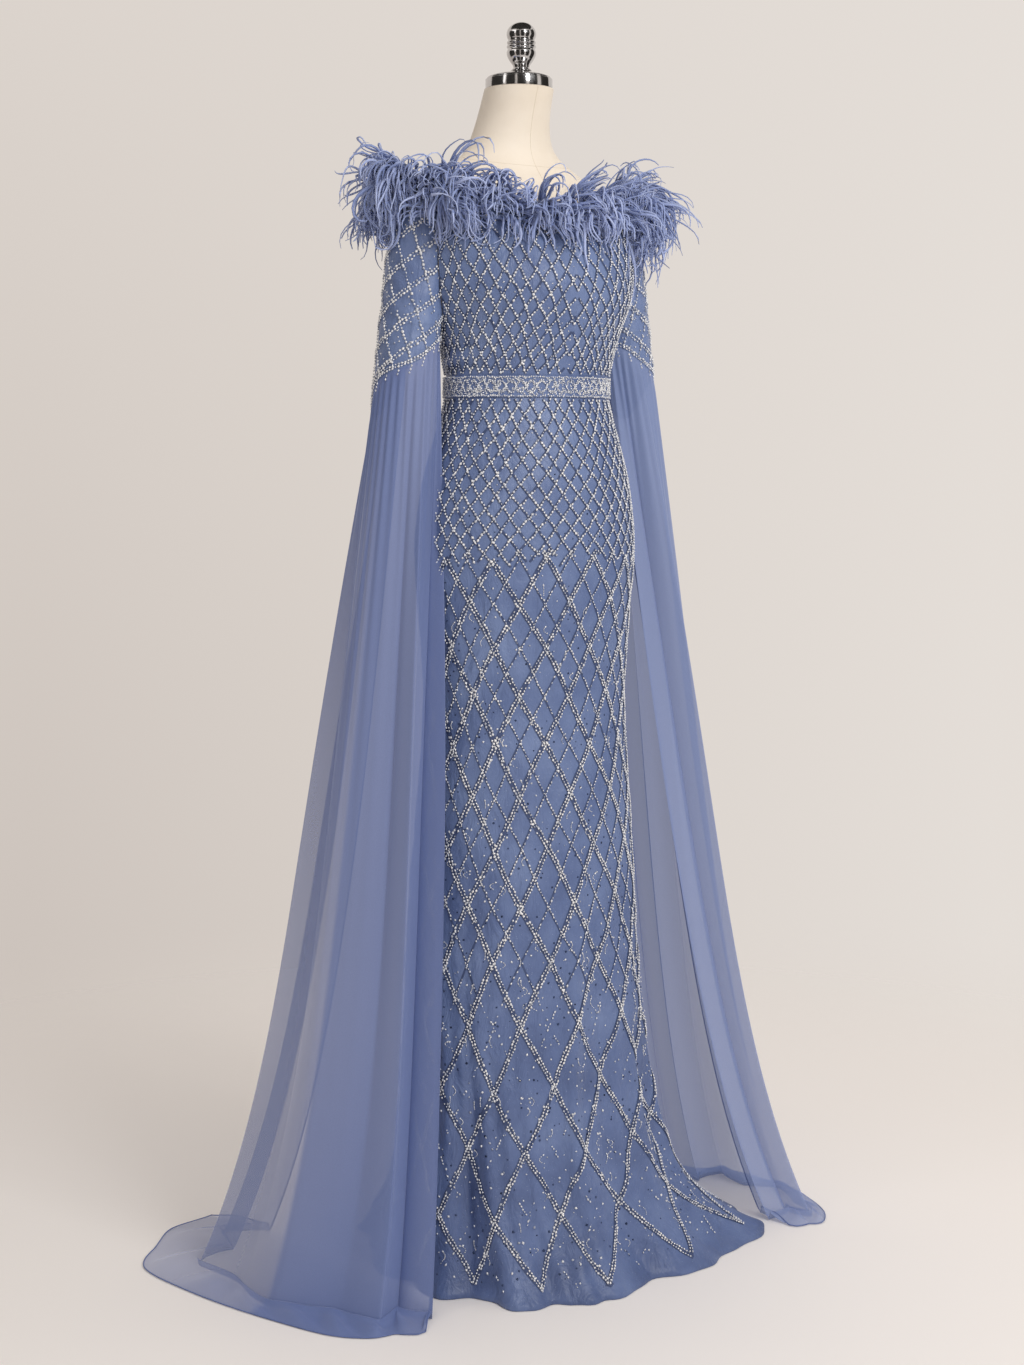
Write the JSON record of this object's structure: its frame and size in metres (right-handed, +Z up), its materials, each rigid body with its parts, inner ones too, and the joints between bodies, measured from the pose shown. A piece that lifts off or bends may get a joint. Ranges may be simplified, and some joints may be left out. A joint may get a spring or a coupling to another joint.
{
  "type": "off-shoulder evening dress on a dress form",
  "caption": "Floor-length off-shoulder beaded gown with feather neckline trim and long sheer cape sleeves, standing on a limbless dress form.",
  "frame": {"origin": "on the floor, under the middle of the dress form's foot", "axes": "+Z up, -Y the front of the gown, +X the wearer's left"},
  "size_m": [0.9856, 0.6129, 1.7429],
  "materials": {
    "beaded_satin": "satin under beaded net",
    "chiffon": "sheer, matte",
    "feather": "soft, matte",
    "bead_belt": "densely beaded",
    "form_cover": "smooth cream cover, matte",
    "chrome": "polished"
  },
  "bodies": {
    "root": {"bodice_front": "beaded_satin", "bodice_back": "beaded_satin", "skirt_front": "beaded_satin", "skirt_back": "beaded_satin", "belt": "bead_belt", "sleeve_right": "beaded_satin", "sleeve_left": "beaded_satin", "cape_right": "chiffon", "cape_left": "chiffon", "feather_front": "feather", "feather_back": "feather", "feather_shoulder_right": "feather", "feather_shoulder_left": "feather", "form_torso": "form_cover", "form_neck_cap": "chrome", "form_finial": "chrome", "form_pole": "chrome", "form_base": "chrome"}
  },
  "joints": []
}
